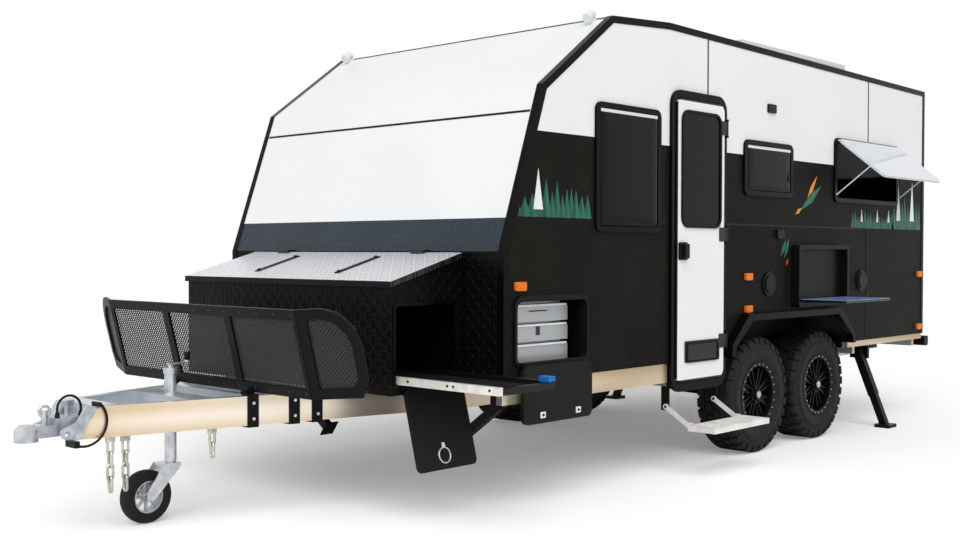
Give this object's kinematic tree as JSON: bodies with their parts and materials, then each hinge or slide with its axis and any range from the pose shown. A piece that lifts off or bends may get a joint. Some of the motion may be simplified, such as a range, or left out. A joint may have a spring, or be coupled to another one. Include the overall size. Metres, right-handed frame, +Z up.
{
  "type": "travel trailer",
  "caption": "Hollow off-road travel trailer on a galvanised drawbar frame with tandem wheels, entry door, front box, slide-out tray, stone guard, jockey wheel and drop legs.",
  "frame": {"origin": "on the ground below the middle of the parked trailer's outline", "axes": "+X forward to the hitch, +Y to the side with the entry door, +Z up"},
  "size_m": [7.74, 2.9868, 2.8969],
  "materials": {
    "galvanised": "satin",
    "black_metal": "satin",
    "white_panel": "gloss",
    "black_panel": "satin",
    "cast": "rough",
    "zinc": "satin",
    "rubber": "matt",
    "tyre": "matt",
    "glazing": "gloss",
    "plate": "satin",
    "amber": "gloss",
    "black_plastic": "matt",
    "white_plastic": "satin",
    "floor_board": "satin"
  },
  "bodies": {
    "chassis": {"drawbar_rails": "galvanised", "main_rails": "galvanised", "cross_members": "galvanised", "coupling": "cast", "brake_cables": "rubber", "safety_chains": "zinc", "jack_tube": "zinc", "guard_frame": "black_metal", "guard_mesh": "black_metal", "front_box": "black_metal", "front_hatch_door": "black_metal", "floor": "floor_board", "wheel_wells": "black_plastic", "wall_left": "white_panel", "wall_right": "white_panel", "nose_low": "black_panel", "nose_mid": "white_panel", "nose_top": "white_panel", "roof": "white_panel", "rear_wall": "white_panel", "edge_trim": "black_metal", "door_frame": "black_metal", "window_frames": "black_plastic", "window_panes": "glazing", "open_sash": "glazing", "galley_frame": "black_metal", "galley_drawers": "plate", "table_frame": "black_metal", "wall_fittings": "black_plastic", "lamps": "amber", "mudguards": "black_plastic", "suspension": "black_metal", "underbody_brackets": "black_metal", "rear_bumper": "black_metal", "air_conditioner": "white_plastic"},
    "wheel_fl": {"tyre_fl": "tyre", "rim_fl": "black_metal"},
    "wheel_fr": {"tyre_fr": "tyre", "rim_fr": "black_metal"},
    "wheel_rl": {"tyre_rl": "tyre", "rim_rl": "black_metal"},
    "wheel_rr": {"tyre_rr": "tyre", "rim_rr": "black_metal"},
    "entry_door": {"door_leaf": "white_panel", "door_pane": "glazing", "door_handle": "black_plastic"},
    "box_lid": {"box_lid": "plate"},
    "galley_door": {"galley_door": "black_metal"},
    "tray": {"tray": "zinc"},
    "table_leaf": {"table_leaf": "black_metal"},
    "step_arms": {"step_arms": "black_metal"},
    "step_tread": {"step_tread": "plate"},
    "front_leg_l": {"front_leg_l": "black_metal"},
    "front_leg_r": {"front_leg_r": "black_metal"},
    "rear_leg_l": {"rear_leg_l": "zinc"},
    "rear_leg_r": {"rear_leg_r": "zinc"},
    "jockey_fork": {"jockey_fork": "zinc"},
    "jockey_wheel": {"jockey_tyre": "rubber", "jockey_rim": "zinc"}
  },
  "joints": [
    {"name": "wheel_fl_spin", "type": "hinge", "parent": "chassis", "child": "wheel_fl", "pos_m": [-0.84, 0.95086, 0.4], "axis": [0, 1, 0], "continuous": true},
    {"name": "wheel_fr_spin", "type": "hinge", "parent": "chassis", "child": "wheel_fr", "pos_m": [-0.84, -1.18414, 0.4], "axis": [0, 1, 0], "continuous": true},
    {"name": "wheel_rl_spin", "type": "hinge", "parent": "chassis", "child": "wheel_rl", "pos_m": [-1.71, 0.95086, 0.4], "axis": [0, 1, 0], "continuous": true},
    {"name": "wheel_rr_spin", "type": "hinge", "parent": "chassis", "child": "wheel_rr", "pos_m": [-1.71, -1.18414, 0.4], "axis": [0, 1, 0], "continuous": true},
    {"name": "entry_door_swing", "type": "hinge", "parent": "chassis", "child": "entry_door", "pos_m": [-0.348, 1.11336, 1.45], "axis": [0, 0, 1], "range_deg": [0, 95]},
    {"name": "box_lid_lift", "type": "hinge", "parent": "chassis", "child": "box_lid", "pos_m": [1.817, -0.11664, 1.381], "axis": [0, -1, 0], "range_deg": [0, 80]},
    {"name": "galley_door_fold", "type": "hinge", "parent": "chassis", "child": "galley_door", "pos_m": [1.41, 1.10736, 0.785], "axis": [1, 0, 0], "range_deg": [0, 180]},
    {"name": "tray_slide", "type": "slide", "parent": "chassis", "child": "tray", "axis": [0, -1, 0], "range_m": [0, 0.68]},
    {"name": "table_fold", "type": "hinge", "parent": "chassis", "child": "table_leaf", "pos_m": [-1.66, 1.13336, 1.04], "axis": [1, 0, 0], "range_deg": [0, 90]},
    {"name": "step_swing", "type": "hinge", "parent": "chassis", "child": "step_arms", "pos_m": [-0.07, 1.03336, 0.414], "axis": [-1, 0, 0], "range_deg": [0, 104]},
    {"name": "step_level", "type": "hinge", "parent": "step_arms", "child": "step_tread", "pos_m": [-0.07, 1.19336, 0.315], "axis": [-1, 0, 0], "range_deg": [-104, 0]},
    {"name": "jockey_swivel", "type": "hinge", "parent": "chassis", "child": "jockey_fork", "pos_m": [3.04, -0.11664, 0.4], "axis": [0, 0, 1], "continuous": true},
    {"name": "jockey_spin", "type": "hinge", "parent": "jockey_fork", "child": "jockey_wheel", "pos_m": [3.185, -0.11664, 0.135], "axis": [0, 1, 0], "continuous": true},
    {"name": "front_leg_l_swing", "type": "hinge", "parent": "chassis", "child": "front_leg_l", "pos_m": [1.53, 0.83336, 0.54], "axis": [1, 0, 0], "range_deg": [0, 74]},
    {"name": "rear_leg_l_slide", "type": "slide", "parent": "chassis", "child": "rear_leg_l", "axis": [0, -0.3697, 0.9291], "range_m": [0, 0.2]},
    {"name": "front_leg_r_swing", "type": "hinge", "parent": "chassis", "child": "front_leg_r", "pos_m": [1.53, -1.06664, 0.54], "axis": [-1, 0, 0], "range_deg": [0, 74]},
    {"name": "rear_leg_r_slide", "type": "slide", "parent": "chassis", "child": "rear_leg_r", "axis": [0, 0.3697, 0.9291], "range_m": [0, 0.2]}
  ],
  "couplings": [
    {"joint": "step_level", "follows": "step_swing", "ratio": -1}
  ]
}
